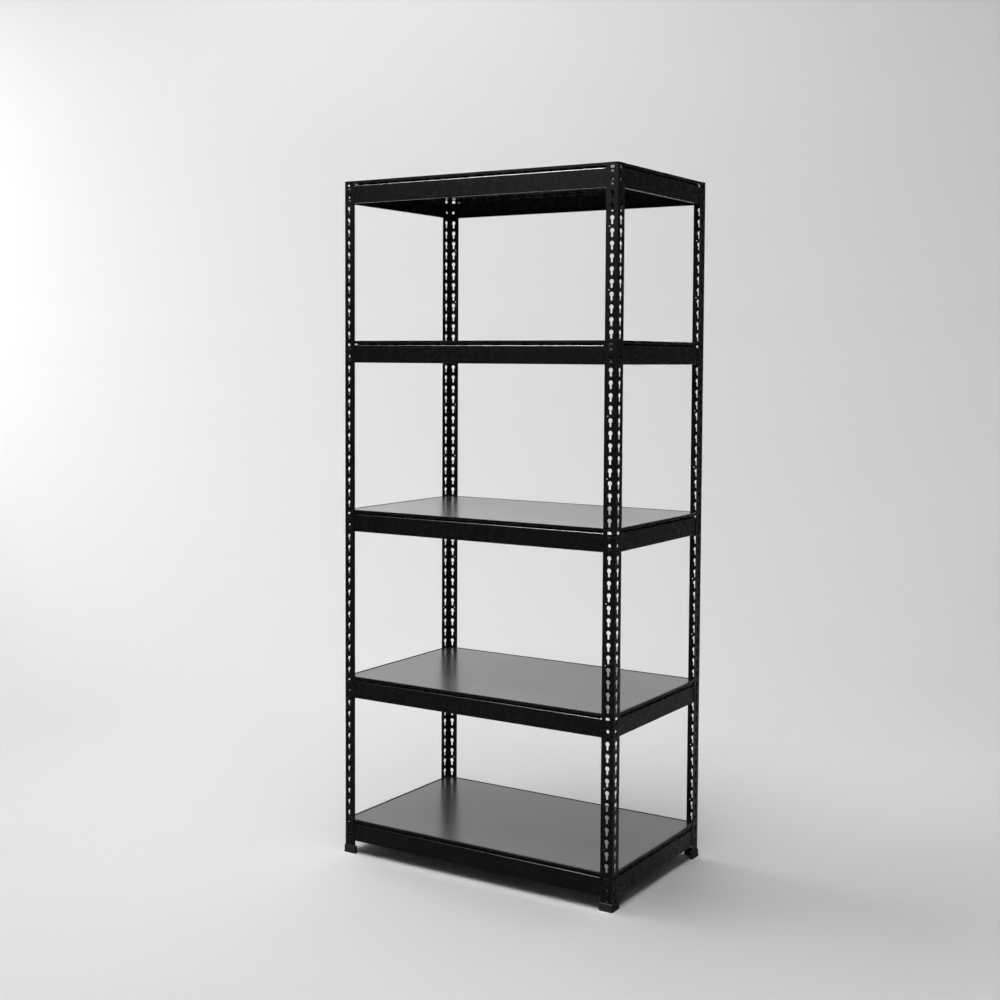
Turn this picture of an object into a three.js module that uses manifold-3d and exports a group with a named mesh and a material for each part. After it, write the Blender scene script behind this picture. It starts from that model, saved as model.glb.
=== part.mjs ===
// Boltless steel shelving: four perforated angle posts in plastic feet, five levels of hooked
// beams, and a loose board on each level.
//
// Millimetres, +Z up. X runs along the long beams, Y along the short beams, and the front is -Y.
// The origin is on the floor, under the middle of the frame.

import * as THREE from 'three';
import { mergeGeometries, mergeVertices } from 'three/addons/utils/BufferGeometryUtils.js';
import Module from 'manifold-3d';

const wasm = await Module();
wasm.setup();

// ---------------------------------------------------------------- driving dimensions

const WIDTH = 820; // over the outer faces of the posts, along X
const DEPTH = 485; // over the outer faces of the posts, along Y
const GAP = 0.3; // air kept between pieces that touch
const OVERCUT = 5; // how far a cutter runs past the sheet it cuts
const MERGE_DISTANCE = 1e-4; // corners closer than this are one corner

const POST_LENGTH = 1800;
const POST_FLANGE = 33; // outer width of each side of the angle
const POST_SHEET = 1.5;
const POST_BEND = 2; // outer radius of the fold
const BEND_STEPS = 3;

const KEYHOLE_PITCH = 30;
const KEYHOLE_COUNT = 60;
const KEYHOLE_COLUMN = 16; // from the post's outer corner to the middle of the keyholes
const FIRST_HEAD_DROP = 11; // from the post's top to the middle of the first keyhole's head
const HEAD_HALF_WIDTH = 6;
const HEAD_RISE = 5.5; // from the middle of the head up to its top edge
const NECK_DROP = 5.5; // from the middle of the head down to the neck
const SLOT_HALF_WIDTH = 3.3;
const SLOT_DROP = 15.4; // from the middle of the head down to the bottom of the slot

const BEAM_HEIGHT = 58;
const BEAM_SHEET = 1.2;
const BEAM_END_GAP = 0.5;
const HOOK_DROP = 11; // from the beam's top to the head of the keyhole that its upper rivet uses
const LEDGE_DROP = 6.4; // from the beam's top to the ledge that carries the board
const LEDGE_DEPTH = 12.6; // how far the ledge reaches inwards from the web's outer face
const GROOVE_BOTTOM = 14; // from the beam's top to the lower edge of the folded groove
const TOE_DEPTH = 10; // inward fold along the beam's lower edge
const TOE_RELIEF = 15; // from the post's outer corner to the end of that fold
const SLOT_START = 6; // the groove's slot begins this far from the post's outer corner
const LEDGE_START = 38.5; // the ledge begins this far from the post's outer corner

const LOCK_HOLE_RADIUS = 4.1; // hole for a locking pin, behind the lower keyhole's head
const LOCK_HOLE_SIDES = 8;

const RIVET_SHANK_RADIUS = 2.9;
const RIVET_HEAD_RADIUS = 4.5;
const RIVET_HEAD_HEIGHT = 2;
const RIVET_CROWN_RADIUS = 2.9; // flat middle of the domed head
const RIVET_SIDES = 6;
const RIVETS_PER_END = 2;

const BOARD_THICKNESS = 5.6;
const BOARD_CLEARANCE = 1; // to the beams' lips, all round
const BOARD_CORNER = 1.5;

const FOOT_FLOOR = 1.7; // plastic under the post's end
const FOOT_BASE_HEIGHT = 4;
const FOOT_HEIGHT = 20;
const FOOT_WALL = 1.9; // how far the sleeve stands out from the post's outer faces
const FOOT_BASE_WALL = 2.5; // how far the base stands out from them
const FOOT_SLEEVE_REACH = 7.5; // from the post's outer face to the sleeve's inner side
const FOOT_BASE_REACH = 9.7; // from the post's outer face to the base's inner side
const FOOT_GUSSET = 8; // slanted fill in the base's inner corner

// The keyhole, counted from the top of the post, that the upper rivets of each level hook into.
const LEVEL_KEYHOLES = { level_1: 57, level_2: 44, level_3: 29, level_4: 14, level_5: 0 };

const STEEL = { color: 0x17181a, roughness: 0.42, metalness: 0.55 };
const PLASTIC = { color: 0x121213, roughness: 0.6, metalness: 0 };
const BOARD_FINISH = { color: 0x1c1d1f, roughness: 0.22, metalness: 0 };

const POST_BOTTOM = FOOT_FLOOR + GAP;
const POST_TOP = POST_BOTTOM + POST_LENGTH;
const QUARTER_TURN = Math.PI / 2;

// ---------------------------------------------------------------- solids

function solidOf(geometry) {
  const bare = new THREE.BufferGeometry();
  bare.setAttribute('position', geometry.getAttribute('position'));
  bare.setIndex(geometry.getIndex());
  const merged = mergeVertices(bare, MERGE_DISTANCE);
  const corners = merged.getIndex().array;
  const kept = [];
  for (let i = 0; i < corners.length; i += 3) {
    const [a, b, c] = corners.slice(i, i + 3);
    if (a !== b && b !== c && c !== a) kept.push(a, b, c);
  }
  const vertProperties = new Float32Array(merged.getAttribute('position').array);
  const mesh = new wasm.Mesh({ numProp: 3, vertProperties, triVerts: new Uint32Array(kept) });
  return new wasm.Manifold(mesh);
}

function geometryOf(solid) {
  const mesh = solid.getMesh();
  const geometry = new THREE.BufferGeometry();
  geometry.setAttribute('position', new THREE.BufferAttribute(mesh.vertProperties, 3));
  geometry.setIndex(new THREE.BufferAttribute(mesh.triVerts, 1));
  geometry.computeVertexNormals();
  return geometry;
}

function shapeOf(points) {
  return new THREE.Shape(points.map(([x, y]) => new THREE.Vector2(x, y)));
}

// An outline in X and Y, drawn upwards from one height to another.
function upright(points, from, to) {
  const geometry = new THREE.ExtrudeGeometry(shapeOf(points), { depth: to - from, bevelEnabled: false });
  return geometry.translate(0, 0, from);
}

// An outline in Y and Z, drawn along X.
function alongX(points, from, to) {
  const geometry = new THREE.ExtrudeGeometry(shapeOf(points), { depth: to - from, bevelEnabled: false });
  const turn = new THREE.Matrix4().makeBasis(
    new THREE.Vector3(0, 1, 0),
    new THREE.Vector3(0, 0, 1),
    new THREE.Vector3(1, 0, 0),
  );
  return geometry.applyMatrix4(turn).translate(from, 0, 0);
}

// An outline in X and Z, drawn along Y.
function alongY(points, from, to) {
  const geometry = new THREE.ExtrudeGeometry(shapeOf(points), { depth: to - from, bevelEnabled: false });
  return geometry.rotateX(QUARTER_TURN).translate(0, to, 0);
}

function block(low, high) {
  const size = high.map((value, axis) => value - low[axis]);
  const middle = high.map((value, axis) => (value + low[axis]) / 2);
  return new THREE.BoxGeometry(...size).translate(...middle);
}

function polygon(radius, sides) {
  const points = [];
  for (let i = 0; i < sides; i += 1) {
    const angle = ((i + 0.5) / sides) * 2 * Math.PI;
    points.push([radius * Math.cos(angle), radius * Math.sin(angle)]);
  }
  return points;
}

// ---------------------------------------------------------------- post

// An angle whose outer corner is at the origin and whose sides run along +X and +Y.
function angleOutline(outer, inner, reach) {
  return [[outer, outer], [reach, outer], [reach, inner], [inner, inner], [inner, reach], [outer, reach]];
}

function foldedAngleOutline() {
  const points = [[POST_FLANGE, 0], [POST_FLANGE, POST_SHEET]];
  const arc = (radius, from, to) => {
    for (let i = 0; i <= BEND_STEPS; i += 1) {
      const angle = from + ((to - from) * i) / BEND_STEPS;
      points.push([POST_BEND + radius * Math.cos(angle), POST_BEND + radius * Math.sin(angle)]);
    }
  };
  arc(POST_BEND - POST_SHEET, 1.5 * Math.PI, Math.PI);
  points.push([POST_SHEET, POST_FLANGE], [0, POST_FLANGE]);
  arc(POST_BEND, Math.PI, 1.5 * Math.PI);
  return points;
}

function keyholeOutline(column, head) {
  return [
    [column - SLOT_HALF_WIDTH, head - SLOT_DROP],
    [column + SLOT_HALF_WIDTH, head - SLOT_DROP],
    [column + SLOT_HALF_WIDTH, head - NECK_DROP],
    [column + HEAD_HALF_WIDTH, head + HEAD_RISE],
    [column - HEAD_HALF_WIDTH, head + HEAD_RISE],
    [column - SLOT_HALF_WIDTH, head - NECK_DROP],
  ];
}

function keyholeHead(index) {
  return POST_LENGTH - FIRST_HEAD_DROP - KEYHOLE_PITCH * index;
}

function postGeometry() {
  let post = solidOf(upright(foldedAngleOutline(), 0, POST_LENGTH));
  for (const cutAcross of [alongX, alongY]) {
    const cutters = [];
    for (let index = 0; index < KEYHOLE_COUNT; index += 1) {
      const outline = keyholeOutline(KEYHOLE_COLUMN, keyholeHead(index));
      cutters.push(cutAcross(outline, -OVERCUT, POST_SHEET + OVERCUT));
    }
    post = post.subtract(solidOf(mergeGeometries(cutters)));
  }
  return geometryOf(post);
}

// ---------------------------------------------------------------- foot

function footGeometry() {
  const reach = POST_FLANGE;
  const base = upright(
    [
      [-FOOT_BASE_WALL, -FOOT_BASE_WALL],
      [reach + FOOT_BASE_WALL, -FOOT_BASE_WALL],
      [reach + FOOT_BASE_WALL, FOOT_BASE_REACH],
      [FOOT_BASE_REACH + FOOT_GUSSET, FOOT_BASE_REACH],
      [FOOT_BASE_REACH, FOOT_BASE_REACH + FOOT_GUSSET],
      [FOOT_BASE_REACH, reach + FOOT_BASE_WALL],
      [-FOOT_BASE_WALL, reach + FOOT_BASE_WALL],
    ],
    0,
    FOOT_BASE_HEIGHT,
  );
  const sleeve = upright(angleOutline(-FOOT_WALL, FOOT_SLEEVE_REACH, reach + FOOT_WALL), 0, FOOT_HEIGHT);
  const pocket = upright(
    angleOutline(-GAP, POST_SHEET + GAP, reach + GAP),
    FOOT_FLOOR,
    FOOT_HEIGHT + OVERCUT,
  );
  return geometryOf(solidOf(base).add(solidOf(sleeve)).subtract(solidOf(pocket)));
}

// ---------------------------------------------------------------- beam

// A beam lies along X with its web's outer face at Y = 0, its inside towards +Y and its top at Z = 0.
// The span is the distance between the outer corners of the posts, and the setback is how far
// short of each corner the beam ends.
function beamGeometry(span, setback) {
  const half = span / 2;
  const end = half - setback;
  const ledgeEnd = half - LEDGE_START;
  const grooveTop = LEDGE_DROP + BEAM_SHEET;
  const grooveDepth = LEDGE_DEPTH - 2 * BEAM_SHEET;
  const slope = (GROOVE_BOTTOM - grooveTop) / grooveDepth;
  const slantThickness = BEAM_SHEET * Math.hypot(1, slope);

  const web = block([-end, 0, -BEAM_HEIGHT], [end, BEAM_SHEET, 0]);
  const toeEnd = half - TOE_RELIEF;
  const toe = block([-toeEnd, 0, -BEAM_HEIGHT], [toeEnd, TOE_DEPTH, BEAM_SHEET - BEAM_HEIGHT]);
  const slotEnd = half - SLOT_START;
  const groove = block(
    [-slotEnd, -OVERCUT, -GROOVE_BOTTOM],
    [slotEnd, BEAM_SHEET + OVERCUT, -grooveTop],
  );
  const ledge = alongX(
    [
      [0, -LEDGE_DROP],
      [0, -grooveTop],
      [grooveDepth, -grooveTop],
      [0, -GROOVE_BOTTOM],
      [0, -GROOVE_BOTTOM - slantThickness],
      [LEDGE_DEPTH, -GROOVE_BOTTOM - slantThickness + slope * LEDGE_DEPTH],
      [LEDGE_DEPTH, -LEDGE_DROP],
    ].reverse(),
    -ledgeEnd,
    ledgeEnd,
  );

  let beam = solidOf(web).add(solidOf(toe)).subtract(solidOf(groove)).add(solidOf(ledge));
  for (const side of [-1, 1]) {
    const column = side * (half - KEYHOLE_COLUMN);
    for (let hook = 0; hook < RIVETS_PER_END; hook += 1) {
      const head = -HOOK_DROP - hook * KEYHOLE_PITCH;
      const seat = head - SLOT_DROP + GAP + RIVET_SHANK_RADIUS;
      beam = beam.add(solidOf(rivetGeometry().translate(column, 0, seat)));
    }
    const lockHead = -HOOK_DROP - KEYHOLE_PITCH;
    const lockHole = alongY(polygon(LOCK_HOLE_RADIUS, LOCK_HOLE_SIDES), -OVERCUT, BEAM_SHEET + OVERCUT);
    beam = beam.subtract(solidOf(lockHole.translate(column, 0, lockHead)));
  }
  return geometryOf(beam);
}

// A rivet set in the web, whose head lies outside the post's sheet.
function rivetGeometry() {
  const headSeat = -(GAP + POST_SHEET + GAP);
  const crown = headSeat - RIVET_HEAD_HEIGHT;
  const profile = [
    [0, crown],
    [RIVET_CROWN_RADIUS, crown],
    [RIVET_HEAD_RADIUS, headSeat],
    [RIVET_SHANK_RADIUS, headSeat],
    [RIVET_SHANK_RADIUS, BEAM_SHEET / 2],
    [0, BEAM_SHEET / 2],
  ];
  return new THREE.LatheGeometry(profile.map(([r, y]) => new THREE.Vector2(r, y)), RIVET_SIDES);
}

// ---------------------------------------------------------------- board

function boardGeometry() {
  const inset = POST_SHEET + GAP + BEAM_SHEET + BOARD_CLEARANCE;
  const x = WIDTH / 2 - inset;
  const y = DEPTH / 2 - inset;
  const c = BOARD_CORNER;
  const outline = [
    [-x + c, -y],
    [x - c, -y],
    [x, -y + c],
    [x, y - c],
    [x - c, y],
    [-x + c, y],
    [-x, y - c],
    [-x, -y + c],
  ];
  return upright(outline, 0, BOARD_THICKNESS);
}

// ---------------------------------------------------------------- assembly

const shelving = new THREE.Group();

function place(name, geometry, finish, [x, y, z], quarterTurns) {
  const piece = new THREE.Mesh(geometry, new THREE.MeshStandardMaterial(finish));
  piece.name = name;
  piece.position.set(x, y, z);
  piece.rotation.z = quarterTurns * QUARTER_TURN;
  shelving.add(piece);
}

const CORNERS = [
  { corner: 'front_left', x: -1, y: -1, quarterTurns: 0 },
  { corner: 'front_right', x: 1, y: -1, quarterTurns: 1 },
  { corner: 'back_right', x: 1, y: 1, quarterTurns: 2 },
  { corner: 'back_left', x: -1, y: 1, quarterTurns: 3 },
];

const postShape = postGeometry();
const footShape = footGeometry();
for (const { corner, x, y, quarterTurns } of CORNERS) {
  const at = [(x * WIDTH) / 2, (y * DEPTH) / 2];
  place(`post_${corner}`, postShape, STEEL, [...at, POST_BOTTOM], quarterTurns);
  place(`foot_${corner}`, footShape, PLASTIC, [...at, 0], quarterTurns);
}

// The long beams run into the posts' corners, and the short beams end against the long beams' webs.
const webInset = POST_SHEET + GAP;
const longBeam = beamGeometry(WIDTH, POST_SHEET + BEAM_END_GAP);
const shortBeam = beamGeometry(DEPTH, webInset + BEAM_SHEET + BEAM_END_GAP);
const SIDES = [
  { side: 'front', geometry: longBeam, x: 0, y: -1, quarterTurns: 0 },
  { side: 'right', geometry: shortBeam, x: 1, y: 0, quarterTurns: 1 },
  { side: 'back', geometry: longBeam, x: 0, y: 1, quarterTurns: 2 },
  { side: 'left', geometry: shortBeam, x: -1, y: 0, quarterTurns: 3 },
];

const boardShape = boardGeometry();
for (const [level, keyhole] of Object.entries(LEVEL_KEYHOLES)) {
  const top = POST_BOTTOM + keyholeHead(keyhole) + HOOK_DROP;
  for (const { side, geometry, x, y, quarterTurns } of SIDES) {
    const at = [x * (WIDTH / 2 - webInset), y * (DEPTH / 2 - webInset), top];
    place(`${level}_beam_${side}`, geometry, STEEL, at, quarterTurns);
  }
  place(`${level}_board`, boardShape, BOARD_FINISH, [0, 0, top - LEDGE_DROP + GAP], 0);
}

export default shelving;
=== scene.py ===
# Boltless steel shelving: the looks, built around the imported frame.
#
# Metres, +Z up, in the frame of the CAD model: X runs along the long beams, Y along the short beams,
# the front is -Y, and the origin is on the floor under the middle. Each folded steel piece is drawn
# as a flat pattern, cut, and then folded, the way the real one is pressed from sheet.

import math

import bpy
from mathutils import Matrix, Vector
from mathutils.geometry import delaunay_2d_cdt


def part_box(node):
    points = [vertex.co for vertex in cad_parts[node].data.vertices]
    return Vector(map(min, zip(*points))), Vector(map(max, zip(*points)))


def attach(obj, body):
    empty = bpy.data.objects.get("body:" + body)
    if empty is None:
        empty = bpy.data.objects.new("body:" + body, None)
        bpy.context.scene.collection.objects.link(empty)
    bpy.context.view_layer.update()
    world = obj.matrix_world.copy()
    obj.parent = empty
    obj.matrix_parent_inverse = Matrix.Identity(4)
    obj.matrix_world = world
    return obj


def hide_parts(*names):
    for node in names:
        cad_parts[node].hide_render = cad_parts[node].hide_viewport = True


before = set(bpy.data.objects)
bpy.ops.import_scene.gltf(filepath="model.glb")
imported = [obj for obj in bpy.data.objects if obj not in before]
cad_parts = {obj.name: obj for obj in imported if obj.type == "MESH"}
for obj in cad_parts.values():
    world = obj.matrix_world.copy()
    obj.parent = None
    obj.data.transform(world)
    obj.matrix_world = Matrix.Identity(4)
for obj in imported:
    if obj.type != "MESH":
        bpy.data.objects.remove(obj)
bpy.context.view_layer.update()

MM = 0.001
GAP = 0.3 * MM  # air between pieces that touch

# ---------------------------------------------------------------- sizes

POST_SHEET = 1.5 * MM
POST_FLANGE = 33 * MM
POST_BEND = 2 * MM  # outer radius of the fold
KEYHOLE_PITCH = 30 * MM
KEYHOLE_COUNT = 60
KEYHOLE_COLUMN = 16 * MM  # from the post's outer corner
FIRST_HEAD_DROP = 11 * MM  # from the post's top to the middle of the first head
HEAD_RADIUS = 5.7 * MM
SLOT_RADIUS = 2.8 * MM
SLOT_DROP = 15.4 * MM  # from the middle of the head to the bottom of the slot
PIN_HOLE_RADIUS = 1.5 * MM
PIN_HOLE_COLUMN = 23.5 * MM
PIN_HOLE_RISE = 10.3 * MM  # above the middle of a head
PIN_HOLE_EVERY = 5  # keyholes

BEAM_SHEET = 1.2 * MM
BEAM_HEIGHT = 58 * MM
BEAM_END_GAP = 0.5 * MM
LIP_DROP = 7.6 * MM  # from the beam's top to the ledge's underside
LIP_BEND = 1.7 * MM
LEDGE_DEPTH = 12.6 * MM
GROOVE_TIP = 0.5 * MM  # radius inside the groove's tip
CREST_DROP = 14.3 * MM  # from the beam's top to where the groove's rounded edge meets the web
CREST_BEND = 2.8 * MM
TOE_BEND = 2 * MM
TOE_DEPTH = 10 * MM
TOE_RELIEF = 15 * MM  # from the post's outer corner to the end of the toe
RELIEF_WIDTH = 1 * MM
SLOT_TOP = 7.4 * MM  # the see-through slot at each end, from the beam's top
SLOT_BOTTOM = 13.9 * MM
SLOT_START = 6 * MM  # from the post's outer corner
LEDGE_START = 38.5 * MM
LOCK_HOLE_RADIUS = 4.1 * MM
WEB_CORNER = 1.5 * MM

RIVET_SHANK = 2.5 * MM  # radius, like the next one
RIVET_HEAD = 4.5 * MM
RIVET_RISE = 1 * MM  # of the domed head
RIVET_TAIL = 3.7 * MM  # radius
RIVET_TAIL_RISE = 0.9 * MM
RIVET_TAIL_TIP = 0.8  # the tail's end, as a share of its radius
RIVET_ROUNDING = 0.15 * MM
HOOK_DROP = 11 * MM  # from the beam's top to the upper hook's keyhole head
HOOKS_PER_END = 2

BOARD_CORNER = 1.5 * MM
ROUND_OVER_REACH = 6 * MM  # the round-over of the board's top edges, measured along its top
ROUND_OVER_DROP = 4 * MM
ROUND_OVER_STEPS = 8
BOARD_ROUNDING = 0.3 * MM

FOOT_FLOOR = 1.7 * MM
FOOT_BASE = 4 * MM
FOOT_WALL = 1.9 * MM
FOOT_FLARE = 2.5 * MM
FOOT_SLEEVE_REACH = 7.5 * MM
FOOT_BASE_REACH = 9.7 * MM
FOOT_GUSSET = 8 * MM
FOOT_FILLET = 0.6 * MM
FOOT_CORNER = 1.2 * MM  # of the upright edge outside the post's corner, where the foot is thinnest
FOOT_END_CORNER = 0.8 * MM
FOOT_SLEEVE_CORNER = 1 * MM
FOOT_SOCKET_CORNER = 0.5 * MM
FOOT_ROUNDING = 0.2 * MM

ARC_STEPS = 6
HOLE_STEPS = 24
PIN_HOLE_STEPS = 12
CUT_ROUNDING = 0.25 * MM  # the coat rounds each cut edge
ROUNDING_SEGMENTS = 2
SHARP_EDGE = math.radians(40)  # edges that turn by more than this are rounded
LARGE_FACES_RULE = 100  # weight of the large faces in the smoothed normals, where 50 is neutral
SAME_PLACE = 1e-8  # corners of a flat pattern closer than this are one corner

# ---------------------------------------------------------------- outlines


def arc(centre, radius, start, end, steps):
    """Points on an arc, both ends included."""
    angles = [start + (end - start) * i / steps for i in range(steps + 1)]
    return [(centre[0] + radius * math.cos(a), centre[1] + radius * math.sin(a)) for a in angles]


def circle(centre, radius, steps=HOLE_STEPS):
    return arc(centre, radius, 0, 2 * math.pi, steps)[:-1]


def rounded(corners, radii):
    """The outline through these corners, each one rounded to its own radius."""
    outline = []
    for i, (corner, radius) in enumerate(zip(corners, radii)):
        here = Vector(corner)
        behind = (Vector(corners[i - 1]) - here).normalized()
        ahead = (Vector(corners[(i + 1) % len(corners)]) - here).normalized()
        half = behind.angle(ahead) / 2
        centre = here + (behind + ahead).normalized() * radius / math.sin(half)
        start = here + behind * radius / math.tan(half) - centre
        end = here + ahead * radius / math.tan(half) - centre
        sweep = math.atan2(start.cross(end), start.dot(end))
        for step in range(ARC_STEPS + 1):
            spoke = Matrix.Rotation(sweep * step / ARC_STEPS, 2) @ start
            outline.append(tuple(centre + spoke))
    return outline


def counterclockwise(loop):
    area = sum(a[0] * b[1] - b[0] * a[1] for a, b in zip(loop, loop[1:] + loop[:1]))
    return loop if area > 0 else loop[::-1]


# ---------------------------------------------------------------- meshes


def mesh_of(name, points, faces):
    mesh = bpy.data.meshes.new(name)
    mesh.from_pydata(points, [], faces)
    mesh.shade_smooth()
    return mesh


def finished(mesh, rounding, strip_material=0):
    """The mesh with its sharp edges rounded. The rounded strips take the material at that index."""
    draft = bpy.data.objects.new(mesh.name, mesh)
    bpy.context.collection.objects.link(draft)
    bevel = draft.modifiers.new("rounding", "BEVEL")
    bevel.width = rounding
    bevel.segments = ROUNDING_SEGMENTS
    bevel.limit_method = "ANGLE"
    bevel.angle_limit = SHARP_EDGE
    bevel.material = strip_material
    normals = draft.modifiers.new("flat faces stay flat", "WEIGHTED_NORMAL")
    normals.weight = LARGE_FACES_RULE
    shape = draft.evaluated_get(bpy.context.evaluated_depsgraph_get())
    result = bpy.data.meshes.new_from_object(shape)
    result.name = mesh.name
    bpy.data.objects.remove(draft)
    return result


def folded_sheet(name, outline, holes, creases, fold, thickness):
    """A sheet cut to an outline with holes, then folded. fold(u, v, depth) places a point of the flat
    pattern, at a depth below the outer face."""
    points = []
    loops = []
    for loop in [outline, *holes]:
        loops.append(list(range(len(points), len(points) + len(loop))))
        points.extend(Vector(point) for point in counterclockwise(loop))
    lines = []
    for crease in creases:
        lines.append((len(points), len(points) + 1))
        points.extend(Vector(point) for point in crease)
    inside_only = 1
    flat, _, triangles, _, _, owners = delaunay_2d_cdt(points, lines, loops, inside_only, SAME_PLACE)
    outer = [tuple(t) for t, owner in zip(triangles, owners) if list(owner) == [0]]
    used = sorted({corner for triangle in outer for corner in triangle})
    place = {corner: i for i, corner in enumerate(used)}
    outer = [tuple(place[corner] for corner in triangle) for triangle in outer]
    count = len(used)
    sides = {(t[i], t[(i + 1) % 3]) for t in outer for i in range(3)}
    rim = sorted(side for side in sides if side[::-1] not in sides)
    faces = list(outer)
    faces += [tuple(corner + count for corner in reversed(t)) for t in outer]
    faces += [(a, a + count, b + count, b) for a, b in rim]
    solid = [fold(*flat[i], depth) for depth in (0, thickness) for i in used]
    return mesh_of(name, solid, faces)


def lathe(name, profile, sides):
    """A profile of (radius, height) turned about Z. A radius of 0 is a point on the axis."""
    points = []
    rings = []
    for radius, height in profile:
        ring = circle((0, 0), radius, sides) if radius > 0 else [(0, 0)]
        rings.append(range(len(points), len(points) + len(ring)))
        points.extend((x, y, height) for x, y in ring)
    faces = []
    for low, high in zip(rings, rings[1:]):
        for i in range(sides):
            quad = [low[i % len(low)], low[(i + 1) % len(low)]]
            quad += [high[(i + 1) % len(high)], high[i % len(high)]]
            faces.append(tuple(dict.fromkeys(quad)))
    return mesh_of(name, points, faces)


def loft(name, rings):
    """Outlines of one point count, stacked in order, with both ends closed."""
    count = len(rings[0])
    points = [point for ring in rings for point in ring]
    faces = [tuple(reversed(range(count)))]
    for level in range(len(rings) - 1):
        low = level * count
        for i in range(count):
            j = (i + 1) % count
            faces.append((low + i, low + j, low + count + j, low + count + i))
    faces.append(tuple(range(len(points) - count, len(points))))
    return mesh_of(name, points, faces)


# ---------------------------------------------------------------- posts


def keyhole(column, head):
    """A round head above a slot with a round foot."""
    neck = math.asin(SLOT_RADIUS / HEAD_RADIUS)
    down = -math.pi / 2
    outline = arc((column, head), HEAD_RADIUS, down + neck, down + 2 * math.pi - neck, HOLE_STEPS)
    foot = (column, head - SLOT_DROP + SLOT_RADIUS)
    return outline + arc(foot, SLOT_RADIUS, math.pi, 2 * math.pi, HOLE_STEPS // 2)


def post_mesh(height):
    """An angle whose outer corner is the Z axis, with a flange towards +X and one towards +Y."""
    half_fold = POST_BEND * math.pi / 4
    half_width = half_fold + POST_FLANGE - POST_BEND

    def fold(u, v, depth):
        turned = max(-half_fold, min(half_fold, u))
        angle = (turned / half_fold + 1) * math.pi / 4
        straight = u - turned
        x = POST_BEND - (POST_BEND - depth) * math.cos(angle) + max(0, straight)
        y = POST_BEND - (POST_BEND - depth) * math.sin(angle) + max(0, -straight)
        return x, y, v

    outline = [(-half_width, 0), (half_width, 0), (half_width, height), (-half_width, height)]
    bends = [half_fold * (2 * i / ARC_STEPS - 1) for i in range(ARC_STEPS + 1)]
    creases = [((u, 0), (u, height)) for u in bends]
    holes = []
    for side in (-1, 1):
        column = side * (half_fold + KEYHOLE_COLUMN - POST_BEND)
        pin_column = side * (half_fold + PIN_HOLE_COLUMN - POST_BEND)
        for index in range(KEYHOLE_COUNT):
            head = height - FIRST_HEAD_DROP - KEYHOLE_PITCH * index
            holes.append(keyhole(column, head))
            if index % PIN_HOLE_EVERY == 0 and index > 0:
                holes.append(circle((pin_column, head + PIN_HOLE_RISE), PIN_HOLE_RADIUS, PIN_HOLE_STEPS))
    return finished(folded_sheet("post", outline, holes, creases, fold, POST_SHEET), CUT_ROUNDING, 1)


# ---------------------------------------------------------------- beams


class Profile:
    """A beam's outer face seen from its end: a line of (y, z) walked down from its top edge."""

    def __init__(self):
        self.place = Vector((0, 0))
        self.heading = -math.pi / 2
        self.length = 0
        self.stations = [(0, 0, 0, self.heading)]

    def mark(self):
        self.stations.append((self.length, *self.place, self.heading))

    def go(self, length):
        self.place += Vector((math.cos(self.heading), math.sin(self.heading))) * length
        self.length += length
        self.mark()

    def turn(self, angle, radius):
        """Turns left for an angle above 0."""
        side = math.copysign(math.pi / 2, angle)
        spoke = Vector((math.cos(self.heading + side), math.sin(self.heading + side))) * radius
        centre = self.place + spoke
        start = self.heading
        for step in range(1, ARC_STEPS + 1):
            self.heading = start + angle * step / ARC_STEPS
            self.place = centre - Matrix.Rotation(self.heading - start, 2) @ spoke
            self.length += radius * abs(angle) / ARC_STEPS
            self.mark()

    def at(self, length):
        """y, z and heading at a length along the line."""
        after = next(s for s in self.stations[1:] if s[0] >= length or s is self.stations[-1])
        before = self.stations[self.stations.index(after) - 1]
        share = (length - before[0]) / (after[0] - before[0])
        return [a + (b - a) * share for a, b in zip(before[1:], after[1:])]


def beam_profile():
    """The profile, and the lengths along it where the lip ends, the web begins and the toe begins."""
    tip = Vector((LEDGE_DEPTH - BEAM_SHEET - GROOVE_TIP, -LIP_DROP - GROOVE_TIP))
    crest = Vector((CREST_BEND, -CREST_DROP))
    between = tip - crest
    lean = math.atan2(between.y, between.x) - math.asin((GROOVE_TIP + CREST_BEND) / between.length)
    slant = math.sqrt(between.length_squared - (GROOVE_TIP + CREST_BEND) ** 2)
    profile = Profile()
    profile.go(LIP_DROP - LIP_BEND)
    lip_end = profile.length
    profile.turn(math.pi / 2, LIP_BEND)
    profile.go(tip.x - LIP_BEND)
    profile.turn(lean - math.pi, GROOVE_TIP)
    profile.go(slant)
    profile.turn(math.pi / 2 - lean, CREST_BEND)
    web_start = profile.length
    profile.go(BEAM_HEIGHT - CREST_DROP - TOE_BEND)
    toe_start = profile.length
    profile.turn(math.pi / 2, TOE_BEND)
    profile.go(TOE_DEPTH - TOE_BEND)
    return profile, lip_end, web_start, toe_start


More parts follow.
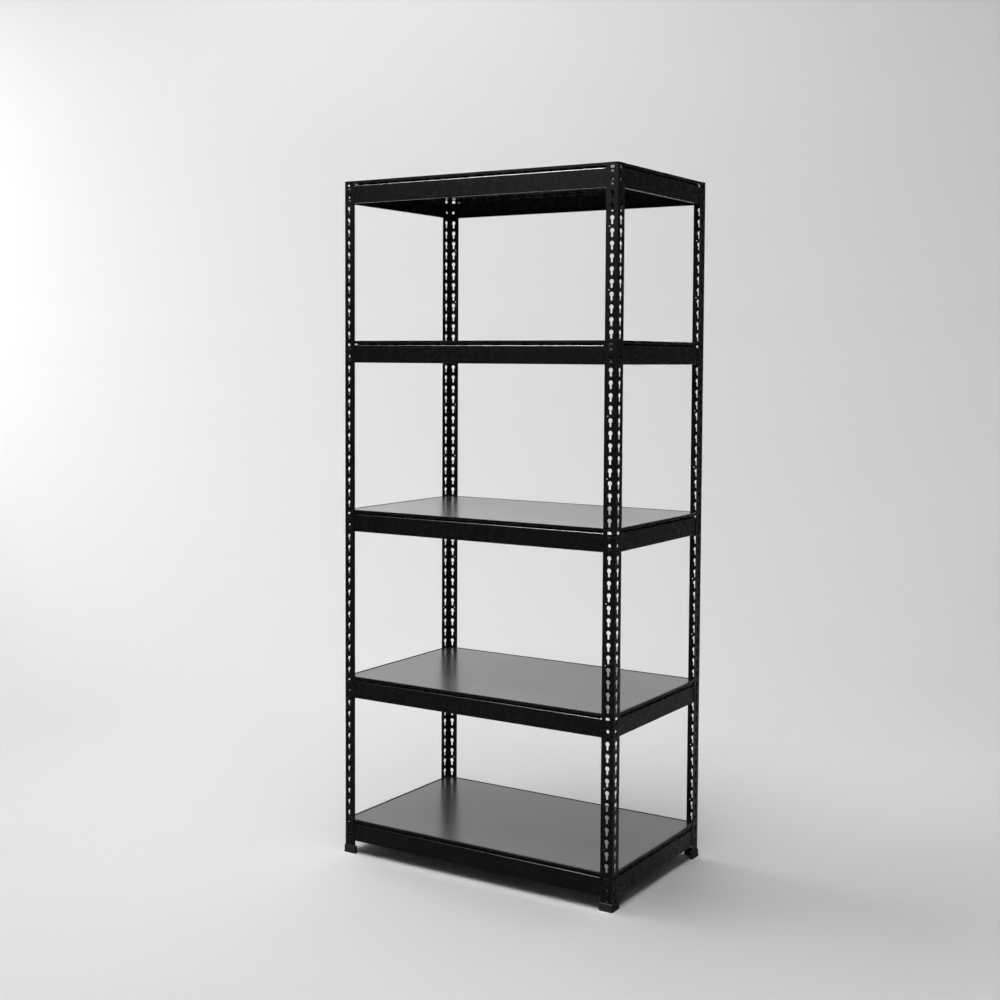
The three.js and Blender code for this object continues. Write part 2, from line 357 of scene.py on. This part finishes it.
def beam_mesh(name, span, setback):
    """A beam along X, its web's outer face at Y = 0, its inside towards +Y and its top at Z = 0."""
    profile, lip_end, web_start, toe_start = beam_profile()
    end = span / 2 - setback
    ledge_end = span / 2 - LEDGE_START
    slot_end = span / 2 - SLOT_START
    toe_end = span / 2 - TOE_RELIEF
    # Past the ledge's end the lip runs flat into the web, so the pattern is shorter there.
    squeeze = (CREST_DROP - LIP_DROP + LIP_BEND) / (web_start - lip_end)

    def length_at(drop):
        return lip_end + (drop - LIP_DROP + LIP_BEND) / squeeze

    def fold(x, v, depth):
        length = -v
        past = abs(x) - RELIEF_WIDTH / 2  # midway across each relief, which has no corners in it
        if past > ledge_end and lip_end < length < web_start:
            return x, depth, -(LIP_DROP - LIP_BEND) - (length - lip_end) * squeeze
        if past > toe_end and length > toe_start:
            return x, depth, TOE_BEND - BEAM_HEIGHT - (length - toe_start)
        y, z, heading = profile.at(length)
        return x, y - depth * math.sin(heading), z + depth * math.cos(heading)

    web_end = toe_start + TOE_BEND
    relief = toe_end + RELIEF_WIDTH
    right = [
        (toe_end, -profile.length),
        (toe_end, -toe_start),
        (relief, -toe_start),
        (relief, -web_end),
        *arc((end - WEB_CORNER, WEB_CORNER - web_end), WEB_CORNER, -math.pi / 2, 0, ARC_STEPS),
        (end, 0),
    ]
    outline = [(-x, v) for x, v in reversed(right)] + right
    slot_top = -length_at(SLOT_TOP)
    slot_bottom = -length_at(SLOT_BOTTOM)
    holes = []
    for side in (-1, 1):
        near = ledge_end + RELIEF_WIDTH
        slot = [
            (ledge_end, -lip_end),
            (ledge_end, -web_start),
            (near, -web_start),
            (near, slot_bottom),
            (slot_end, slot_bottom),
            (slot_end, slot_top),
            (near, slot_top),
            (near, -lip_end),
        ]
        holes.append([(side * x, v) for x, v in slot])
        lock_drop = toe_start - (BEAM_HEIGHT - TOE_BEND) + HOOK_DROP + KEYHOLE_PITCH
        column = side * (span / 2 - KEYHOLE_COLUMN)
        holes.append(circle((column, -lock_drop), LOCK_HOLE_RADIUS))
    creases = []
    for length, *_ in profile.stations:
        if lip_end < length < web_start:
            creases.append(((-ledge_end, -length), (ledge_end, -length)))
        if length > toe_start:
            creases.append(((-toe_end, -length), (toe_end, -length)))
    creases.append(((-toe_end, -toe_start), (toe_end, -toe_start)))
    creases.append(((-ledge_end, -lip_end), (ledge_end, -lip_end)))
    creases.append(((-ledge_end, -web_start), (ledge_end, -web_start)))
    return finished(folded_sheet(name, outline, holes, creases, fold, BEAM_SHEET), CUT_ROUNDING, 1)


def rivets_mesh(name, span):
    """The four rivets of one beam, in the beam's own frame."""
    seat = -(GAP + POST_SHEET + GAP)
    inner = BEAM_SHEET + GAP
    tail_end = inner + RIVET_TAIL_RISE
    dome = 2 * math.atan2(RIVET_RISE, RIVET_HEAD)
    dome_radius = RIVET_HEAD / math.sin(dome)
    dome_middle = (0, seat - RIVET_RISE + dome_radius)
    head = arc(dome_middle, dome_radius, -math.pi / 2, dome - math.pi / 2, ARC_STEPS)
    profile = [
        (0, seat - RIVET_RISE),
        *head[1:],
        (RIVET_HEAD - CUT_ROUNDING, seat),
        (RIVET_SHANK, seat),
        (RIVET_SHANK, inner),
        (RIVET_TAIL, inner),
        (RIVET_TAIL, inner + RIVET_TAIL_RISE / 2),
        (RIVET_TAIL * RIVET_TAIL_TIP, tail_end),
        (0, tail_end),
    ]
    one = lathe("rivet", profile, HOLE_STEPS)
    points = []
    faces = []
    for side in (-1, 1):
        for hook in range(HOOKS_PER_END):
            x = side * (span / 2 - KEYHOLE_COLUMN)
            z = -HOOK_DROP - hook * KEYHOLE_PITCH - SLOT_DROP + GAP + RIVET_SHANK
            start = len(points)
            points.extend((x + v.co.x, v.co.z, z - v.co.y) for v in one.vertices)
            faces.extend(tuple(start + i for i in face.vertices) for face in one.polygons)
    return finished(mesh_of(name, points, faces), RIVET_ROUNDING, 1)


# ---------------------------------------------------------------- feet and boards


def foot_mesh(height):
    """A foot round a post's end, whose outer corner is at X = 0 and Y = 0."""

    def ring(z, wall, inner, inner_corner):
        low = -wall
        reach = POST_FLANGE + wall
        corners = [(low, low), (reach, low), (reach, inner), (inner, inner), (inner, reach), (low, reach)]
        ends = [FOOT_END_CORNER, FOOT_END_CORNER]
        radii = [FOOT_CORNER + wall / 2, *ends, inner_corner, *ends]
        return [(x, y, z) for x, y in rounded(corners, radii)]

    fillet = FOOT_FILLET
    base = FOOT_BASE_REACH
    sleeve = FOOT_SLEEVE_REACH
    socket = POST_SHEET + GAP
    rings = [
        ring(0, FOOT_FLARE - fillet, base - fillet, FOOT_GUSSET),
        ring(fillet, FOOT_FLARE, base, FOOT_GUSSET),
        ring(FOOT_BASE - fillet, FOOT_FLARE, base, FOOT_GUSSET),
        ring(FOOT_BASE, FOOT_FLARE - fillet / 2, base - fillet, FOOT_GUSSET),
        ring(FOOT_BASE + fillet, FOOT_WALL, sleeve + fillet / 2, FOOT_GUSSET / 2),
        ring(FOOT_BASE + 2 * fillet, FOOT_WALL, sleeve, FOOT_SLEEVE_CORNER),
        ring(height - fillet, FOOT_WALL, sleeve, FOOT_SLEEVE_CORNER),
        ring(height, FOOT_WALL - fillet, sleeve - fillet, FOOT_SLEEVE_CORNER),
        ring(height, GAP, socket, FOOT_SOCKET_CORNER),
        ring(FOOT_FLOOR, GAP, socket, FOOT_SOCKET_CORNER),
    ]
    return finished(loft("foot", rings), FOOT_ROUNDING)


def board_mesh(low, high):
    """A thin board whose top edges are rounded over."""
    thickness = high.z - low.z

    def ring(inset, z):
        corners = [(low.x, low.y), (high.x, low.y), (high.x, high.y), (low.x, high.y)]
        inwards = [(1, 1), (-1, 1), (-1, -1), (1, -1)]
        inner = [(x + inset * a, y + inset * b) for (x, y), (a, b) in zip(corners, inwards)]
        return [(x, y, z) for x, y in rounded(inner, [BOARD_CORNER + inset / 2] * 4)]

    rings = [ring(0, 0)]
    for step in range(ROUND_OVER_STEPS + 1):
        angle = math.pi / 2 * step / ROUND_OVER_STEPS
        inset = ROUND_OVER_REACH * (1 - math.cos(angle))
        rings.append(ring(inset, thickness - ROUND_OVER_DROP * (1 - math.sin(angle))))
    return finished(loft("board", rings), BOARD_ROUNDING)


# ---------------------------------------------------------------- materials

# The Mix node's sockets for mixing colours: they share their names with its other sockets.
MIX_FACTOR = 0
MIX_LOW = 6
MIX_HIGH = 7
MIX_RESULT = 2


def material(name):
    """A new material, with its node tree and its Principled shader."""
    made = bpy.data.materials.new(name)
    made.use_nodes = True
    return made, made.node_tree, made.node_tree.nodes["Principled BSDF"]


def add(tree, kind, links=(), **values):
    """A node with its inputs set by name, and linked from (output, input name) pairs."""
    node = tree.nodes.new(kind)
    for key, value in values.items():
        if hasattr(node, key):
            setattr(node, key, value)
        else:
            node.inputs[key.replace("_", " ")].default_value = value
    for output, name in links:
        tree.links.new(output, node.inputs[name])
    return node


def noise(tree, place, scale, detail, roughness=0.5):
    """Noise with this many swells to a metre."""
    node = add(
        tree, "ShaderNodeTexNoise", [(place, "Vector")], Scale=scale, Detail=detail, Roughness=roughness
    )
    return node.outputs["Fac"]


def spread(tree, value, low, high, from_low=0.3, from_high=0.7):
    """A value mapped from one range to another. Noise mostly keeps within the first one's default."""
    node = add(tree, "ShaderNodeMapRange", [(value, "Value")])
    for name, number in zip(("From Min", "From Max", "To Min", "To Max"), (from_low, from_high, low, high)):
        node.inputs[name].default_value = number
    return node.outputs["Result"]


def blend_colour(tree, value, low, high):
    """The low colour where the value is 0, and the high one where it is 1."""
    node = add(tree, "ShaderNodeMix", [(value, MIX_FACTOR)], data_type="RGBA")
    node.inputs[MIX_LOW].default_value = (*low, 1)
    node.inputs[MIX_HIGH].default_value = (*high, 1)
    return node.outputs[MIX_RESULT]


def drifting_grey(tree, place, scale, detail, tones, blue_cast=0):
    """A grey that drifts between two tones."""
    dark, light = ((tone, tone, tone + blue_cast) for tone in tones)
    drift = noise(tree, place, scale, detail)
    return blend_colour(tree, spread(tree, drift, low=0, high=1), dark, light)


def bump(tree, height, distance, strength, under=None):
    """Relief, over a coarser one if there is one."""
    node = add(tree, "ShaderNodeBump", [(height, "Height")], Distance=distance, Strength=strength)
    if under is not None:
        tree.links.new(under, node.inputs["Normal"])
    return node.outputs["Normal"]


def powder_coat(name, tones, roughness, specular):
    """Baked powder: a fine orange peel over a slow drift of tone."""
    made, tree, shader = material(name)
    place = add(tree, "ShaderNodeTexCoord").outputs["Object"]
    colour = drifting_grey(tree, place, scale=9, detail=3, tones=tones, blue_cast=0.0002)
    patches = noise(tree, place, scale=60, detail=4)
    peel = noise(tree, place, scale=420, detail=2)
    grain = noise(tree, place, scale=2300, detail=1)
    peeled = bump(tree, peel, distance=0.03 * MM, strength=0.5)
    relief = bump(tree, grain, distance=0.006 * MM, strength=0.6, under=peeled)
    tree.links.new(colour, shader.inputs["Base Color"])
    tree.links.new(spread(tree, patches, *roughness), shader.inputs["Roughness"])
    tree.links.new(relief, shader.inputs["Normal"])
    shader.inputs["Specular IOR Level"].default_value = specular
    return made


def board_face():
    """Black melamine: nearly smooth, with a faint press texture and a slow change of gloss."""
    made, tree, shader = material("board_laminate")
    place = add(tree, "ShaderNodeTexCoord").outputs["Object"]
    colour = drifting_grey(tree, place, scale=14, detail=4, tones=(0.016, 0.021))
    patches = noise(tree, place, scale=5, detail=5)
    texture = noise(tree, place, scale=900, detail=2)
    relief = bump(tree, texture, distance=0.008 * MM, strength=0.4)
    tree.links.new(colour, shader.inputs["Base Color"])
    tree.links.new(spread(tree, patches, low=0.22, high=0.27), shader.inputs["Roughness"])
    tree.links.new(relief, shader.inputs["Normal"])
    tree.links.new(relief, shader.inputs["Coat Normal"])
    shader.inputs["Specular IOR Level"].default_value = 0.2
    shader.inputs["Coat Weight"].default_value = 0.75
    shader.inputs["Coat Roughness"].default_value = 0.24
    return made


def moulded_plastic():
    """Black polypropylene with a fine spark-eroded grain."""
    made, tree, shader = material("foot_plastic")
    place = add(tree, "ShaderNodeTexCoord").outputs["Object"]
    colour = drifting_grey(tree, place, scale=70, detail=3, tones=(0.0022, 0.0034))
    grain = noise(tree, place, scale=1600, detail=3, roughness=0.6)
    relief = bump(tree, grain, distance=0.04 * MM, strength=0.6)
    tree.links.new(colour, shader.inputs["Base Color"])
    tree.links.new(spread(tree, grain, low=0.55, high=0.7), shader.inputs["Roughness"])
    tree.links.new(relief, shader.inputs["Normal"])
    shader.inputs["Specular IOR Level"].default_value = 0.05
    return made


# ---------------------------------------------------------------- assembly

COAT = powder_coat("black_powder_coat", tones=(0.0042, 0.0054), roughness=(0.26, 0.285), specular=0.05)
COAT_EDGE = powder_coat("powder_coat_edges", tones=(0.003, 0.005), roughness=(0.22, 0.28), specular=0.10)
COAT_RIVETS = powder_coat("powder_coat_rivets", tones=(0.003, 0.005), roughness=(0.46, 0.55), specular=0.03)
LAMINATE = board_face()
PLASTIC = moulded_plastic()


def dressed(mesh, *materials):
    """The mesh with its materials: the first for its faces, the second for its rounded strips."""
    for finish in materials:
        mesh.materials.append(finish)
    return mesh


def piece(name, mesh, place, quarter_turns, body, slot, *nodes):
    """An object of this mesh, turned and placed, that rides on a body and stands for CAD nodes."""
    made = bpy.data.objects.new(name, mesh)
    bpy.context.collection.objects.link(made)
    turn = Matrix.Rotation(quarter_turns * math.pi / 2, 4, "Z")
    made.matrix_world = Matrix.Translation(place) @ turn
    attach(made, body)
    if nodes:
        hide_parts(*nodes)
    return made


CORNERS = {"front_left": (-1, -1), "front_right": (1, -1), "back_right": (1, 1), "back_left": (-1, 1)}
SIDES = {"front": (0, -1), "right": (1, 0), "back": (0, 1), "left": (-1, 0)}
LEVELS = [f"level_{number}" for number in range(1, 6)]

post_low, post_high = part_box("post_front_left")
opposite_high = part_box("post_back_right")[1]
WIDTH = opposite_high.x - post_low.x
DEPTH = opposite_high.y - post_low.y
foot_low, foot_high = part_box("foot_front_left")

post_shape = dressed(post_mesh(post_high.z - post_low.z), COAT, COAT_EDGE)
foot_shape = dressed(foot_mesh(foot_high.z - foot_low.z), PLASTIC)
for turns, (corner, (x, y)) in enumerate(CORNERS.items()):
    at = Vector((x * WIDTH / 2, y * DEPTH / 2, post_low.z))
    piece(f"steel_post_{corner}", post_shape, at, turns, "frame", "post_steel", f"post_{corner}")
    at.z = foot_low.z
    piece(f"plastic_foot_{corner}", foot_shape, at, turns, "frame", "foot_plastic", f"foot_{corner}")

web_inset = POST_SHEET + GAP
beams = {}
for name, span, setback in (
    ("long", WIDTH, POST_SHEET + BEAM_END_GAP),
    ("short", DEPTH, web_inset + BEAM_SHEET + BEAM_END_GAP),
):
    beams[name] = (
        dressed(beam_mesh(f"{name}_beam", span, setback), COAT, COAT_EDGE),
        dressed(rivets_mesh(f"{name}_rivets", span), COAT_RIVETS, COAT_RIVETS),
    )

for level in LEVELS:
    for turns, (side, (x, y)) in enumerate(SIDES.items()):
        node = f"{level}_beam_{side}"
        beam_shape, rivet_shape = beams["long" if x == 0 else "short"]
        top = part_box(node)[1].z
        at = Vector((x * (WIDTH / 2 - web_inset), y * (DEPTH / 2 - web_inset), top))
        piece(f"{level}_{side}_beam", beam_shape, at, turns, "frame", "beam_steel", node)
        piece(f"{level}_{side}_rivets", rivet_shape, at, turns, "frame", "beam_steel")

board_low, board_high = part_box("level_1_board")
board_shape = dressed(board_mesh(board_low, board_high), LAMINATE)
for number, level in enumerate(LEVELS, start=1):
    at = Vector((0, 0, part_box(f"{level}_board")[0].z))
    piece(f"{level}_panel", board_shape, at, 0, f"board_{number}", "board", f"{level}_board")

# ---------------------------------------------------------------- stage, camera, lights

BACKDROP_MIDDLE = math.radians(123)  # where the camera's view meets the wall, from +X towards +Y
PAINTED_SHADE_ASIDE = (0.4, 0.8)  # painted shade: the paper turns grey between these cosines of the angle from that middle
PAINTED_SHADE_RISE = (0.05, 0.7)  # and between these heights
# The pale tone is the backdrop's own; the grey is painted shade that the steel and boards reflect.
PALE_PAPER = (0.70, 0.70, 0.70)
PAINTED_SHADE_PAPER = (0.24, 0.24, 0.24)
FLOOR_RADIUS = 2.3
SWEEP_RADIUS = 2.6
WALL_TOP = 6.0
SWEEP_STEPS = 24
STAGE_STEPS = 96


def paper_with_painted_shade():
    """Paper: pale on the floor and behind the object, and grey on the walls beside and facing it, which is
    painted shade standing in for the unlit room around the set.
    """
    made, tree, shader = material("studio_paper_with_painted_shade")
    place = add(tree, "ShaderNodeTexCoord").outputs["Object"]
    flat = add(tree, "ShaderNodeVectorMath", [(place, 0)], operation="MULTIPLY")
    flat.inputs[1].default_value = (1, 1, 0)
    around = add(tree, "ShaderNodeVectorMath", [(flat.outputs[0], 0)], operation="NORMALIZE")
    facing = add(tree, "ShaderNodeVectorMath", [(around.outputs[0], 0)], operation="DOT_PRODUCT")
    facing.inputs[1].default_value = (math.cos(BACKDROP_MIDDLE), math.sin(BACKDROP_MIDDLE), 0)
    height = add(tree, "ShaderNodeSeparateXYZ", [(place, 0)]).outputs["Z"]
    aside = spread(tree, facing.outputs["Value"], 1, 0, *PAINTED_SHADE_ASIDE)
    raised = spread(tree, height, 0, 1, *PAINTED_SHADE_RISE)
    # Painted shade mask: 1 where the paper is greyed, away from the backdrop's middle and above the floor.
    wall = add(tree, "ShaderNodeMath", [(aside, 0), (raised, 1)], operation="MULTIPLY")
    colour = blend_colour(tree, wall.outputs[0], PALE_PAPER, PAINTED_SHADE_PAPER)
    tree.links.new(colour, shader.inputs["Base Color"])
    shader.inputs["Roughness"].default_value = 1
    shader.inputs["Specular IOR Level"].default_value = 0
    return made


sweep = arc((FLOOR_RADIUS, SWEEP_RADIUS), SWEEP_RADIUS, -math.pi / 2, 0, SWEEP_STEPS)
studio_profile = [(0, 0), *sweep, (FLOOR_RADIUS + SWEEP_RADIUS, WALL_TOP)]
stage = bpy.data.objects.new("studio", lathe("studio", studio_profile, STAGE_STEPS))
bpy.context.collection.objects.link(stage)
stage.data.materials.append(paper_with_painted_shade())

CAMERA_PLACE = (2.0537, -3.3054, 1.3372)
CAMERA_YAW = math.radians(31.818)
CAMERA_DIP = math.radians(3.136)
CAMERA_ROLL = math.radians(0.335)
CAMERA_LENS = 52.67
CAMERA_SENSOR = 36
CAMERA_SHIFT = (-0.0242, -0.0612)

camera = bpy.data.objects.new("camera", bpy.data.cameras.new("camera"))
bpy.context.collection.objects.link(camera)
camera.matrix_world = (
    Matrix.Translation(CAMERA_PLACE)
    @ Matrix.Rotation(CAMERA_YAW, 4, "Z")
    @ Matrix.Rotation(math.pi / 2 - CAMERA_DIP, 4, "X")
    @ Matrix.Rotation(CAMERA_ROLL, 4, "Z")
)
camera.data.sensor_width = CAMERA_SENSOR
camera.data.lens = CAMERA_LENS
camera.data.shift_x, camera.data.shift_y = CAMERA_SHIFT
bpy.context.scene.camera = camera


def softbox(name, place, aim, size, power, diffuse=True, glossy=True):
    """A rectangular light that faces a point."""
    data = bpy.data.lights.new(name, "AREA")
    data.shape = "RECTANGLE"
    data.size, data.size_y = size
    data.energy = power
    light = bpy.data.objects.new(name, data)
    bpy.context.collection.objects.link(light)
    light.location = place
    light.rotation_mode = "QUATERNION"
    light.rotation_quaternion = (Vector(aim) - Vector(place)).to_track_quat("-Z", "Y")
    light.visible_camera = False
    light.visible_diffuse = diffuse
    light.visible_glossy = glossy


softbox("overhead", place=(0.3, 0.2, 4.2), aim=(0.2, 0.2, 0), size=(3.0, 2.4), power=45)
softbox("top_left", place=(-1.5, -0.4, 4.2), aim=(-1.45, -0.4, 0), size=(2.0, 2.0), power=95, glossy=False)
softbox("top_front", place=(0.7, -1.7, 4.2), aim=(0.75, -1.7, 0), size=(2.4, 1.6), power=60, glossy=False)
softbox("left_wall", place=(-3.6, 0.4, 2.6), aim=(-4.6, 1.6, 2.0), size=(1.6, 1.6), power=30, glossy=False)
softbox("back_wall", place=(-1.6, 2.0, 4.6), aim=(-1.6, 4.4, 1.5), size=(3.0, 0.8), power=66, glossy=False)
softbox("strip", place=(0.15, -1.3, 3.4), aim=(0.15, -0.6, 0), size=(3.3, 1.0), power=4900, diffuse=False)

ROOM_GREY = 0.8
ROOM_STRENGTH = 0.06

world = bpy.data.worlds.new("room")
world.use_nodes = True
room = world.node_tree.nodes["Background"]
room.inputs["Color"].default_value = (ROOM_GREY, ROOM_GREY, ROOM_GREY, 1)
room.inputs["Strength"].default_value = ROOM_STRENGTH
bpy.context.scene.world = world
bpy.context.scene.view_settings.view_transform = "Standard"
